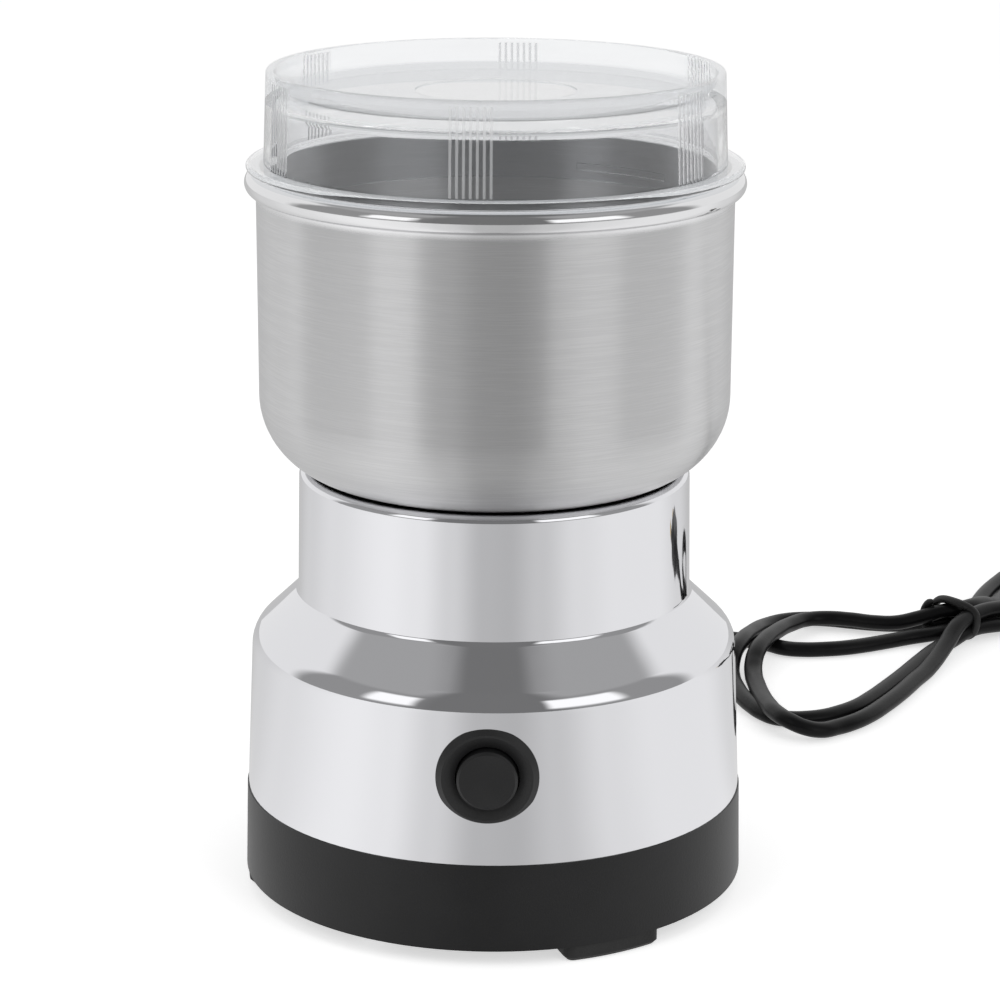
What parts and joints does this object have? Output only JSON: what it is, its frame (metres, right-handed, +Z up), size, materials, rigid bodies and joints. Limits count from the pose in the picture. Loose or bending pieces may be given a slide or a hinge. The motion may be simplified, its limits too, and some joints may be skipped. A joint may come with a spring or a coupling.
{
  "type": "electric spice grinder",
  "caption": "Small electric spice grinder: clear lift-off lid, brushed steel cup with a spinning blade, bright waisted shell with a push button, black base, tied mains cord and plug.",
  "frame": {"origin": "centre of the base, on the plane of the feet, under the axis of the cup", "axes": "+Z up along the axis of the cup, -Y towards the push button, the cord leaves at +Y and lies towards +X"},
  "size_m": [0.2961, 0.2727, 0.1639],
  "materials": {
    "base_black": "fine satin texture",
    "foot_rubber": "matt",
    "screw_steel": "plain zinc",
    "shell_chrome": "mirror bright",
    "cup_steel": "turned and brushed around, bright rim",
    "seal_rubber": "matt",
    "cup_screw_steel": "bright",
    "collar_rubber": "matt",
    "lid_clear": "clear, glossy",
    "bezel_black": "satin",
    "nut_black": "satin",
    "contact_block_brown": "moulded phenolic",
    "contact_brass": "plain",
    "button_black": "satin",
    "spring_steel": "drawn wire",
    "bracket_aluminium": "as cast",
    "bush_bronze": "sintered",
    "motor_screw_steel": "zinc",
    "stator_iron": "stacked sheets",
    "coil_copper": "enamelled copper wire",
    "holder_brass": "bent sheet",
    "brush_carbon": "carbon, matt",
    "shaft_steel": "ground",
    "armature_iron": "stacked sheets",
    "winding_copper": "enamelled copper wire",
    "commutator_copper": "turned copper",
    "fan_plastic": "natural moulding",
    "blade_steel": "polished",
    "nut_steel": "bright plated",
    "cord_black": "satin PVC",
    "clamp_black": "plain",
    "lead_brown": "PVC insulation",
    "lead_black": "PVC insulation",
    "lead_blue": "PVC insulation",
    "tie_black": "coated wire",
    "plug_black": "satin",
    "pin_brass": "bright",
    "sleeve_black": "satin"
  },
  "bodies": {
    "housing": {"base": "base_black", "foot_front": "foot_rubber", "foot_back": "foot_rubber", "foot_left": "foot_rubber", "base_screws": "screw_steel", "shell": "shell_chrome", "cup": "cup_steel", "cup_seal": "seal_rubber", "cup_screws": "cup_screw_steel", "shaft_seal": "collar_rubber", "switch_bezel": "bezel_black", "switch_nut": "nut_black", "contact_block": "contact_block_brown", "switch_terminals": "contact_brass", "button_spring": "spring_steel", "upper_bracket": "bracket_aluminium", "upper_bush": "bush_bronze", "lower_bracket": "bracket_aluminium", "lower_bush": "bush_bronze", "motor_screws": "motor_screw_steel", "stator_core": "stator_iron", "field_coils": "coil_copper", "brush_holders": "holder_brass", "carbon_brushes": "brush_carbon", "brush_springs": "spring_steel", "strain_relief": "cord_black", "inner_cord": "cord_black", "cord_clamp": "clamp_black", "clamp_screws": "motor_screw_steel", "live_lead": "lead_brown", "switched_lead": "lead_black", "neutral_lead": "lead_blue", "cord_lead": "cord_black", "cord_hank": "cord_black", "cord_tie": "tie_black", "cord_tail": "cord_black", "plug_body": "plug_black", "plug_pins": "pin_brass", "plug_sleeves": "sleeve_black"},
    "lid": {"lid": "lid_clear"},
    "rotor": {"motor_shaft": "shaft_steel", "armature_core": "armature_iron", "armature_windings": "winding_copper", "commutator": "commutator_copper", "cooling_fan": "fan_plastic", "blade_spacer": "blade_steel", "blade": "blade_steel", "blade_nut": "nut_steel"},
    "button": {"push_button": "button_black", "contact_bridge": "contact_brass"}
  },
  "joints": [
    {"name": "lid_lift", "type": "slide", "parent": "housing", "child": "lid", "axis": [0, 0, 1], "range_m": [0, 0.06]},
    {"name": "rotor_spin", "type": "hinge", "parent": "housing", "child": "rotor", "pos_m": [0, 0, 0.0924], "axis": [0, 0, 1], "continuous": true},
    {"name": "button_press", "type": "slide", "parent": "housing", "child": "button", "axis": [0, 1, 0], "range_m": [0, 0.002], "stiffness_N_per_m": 300, "springref_m": -0.005, "deforming": ["button_spring"]}
  ]
}
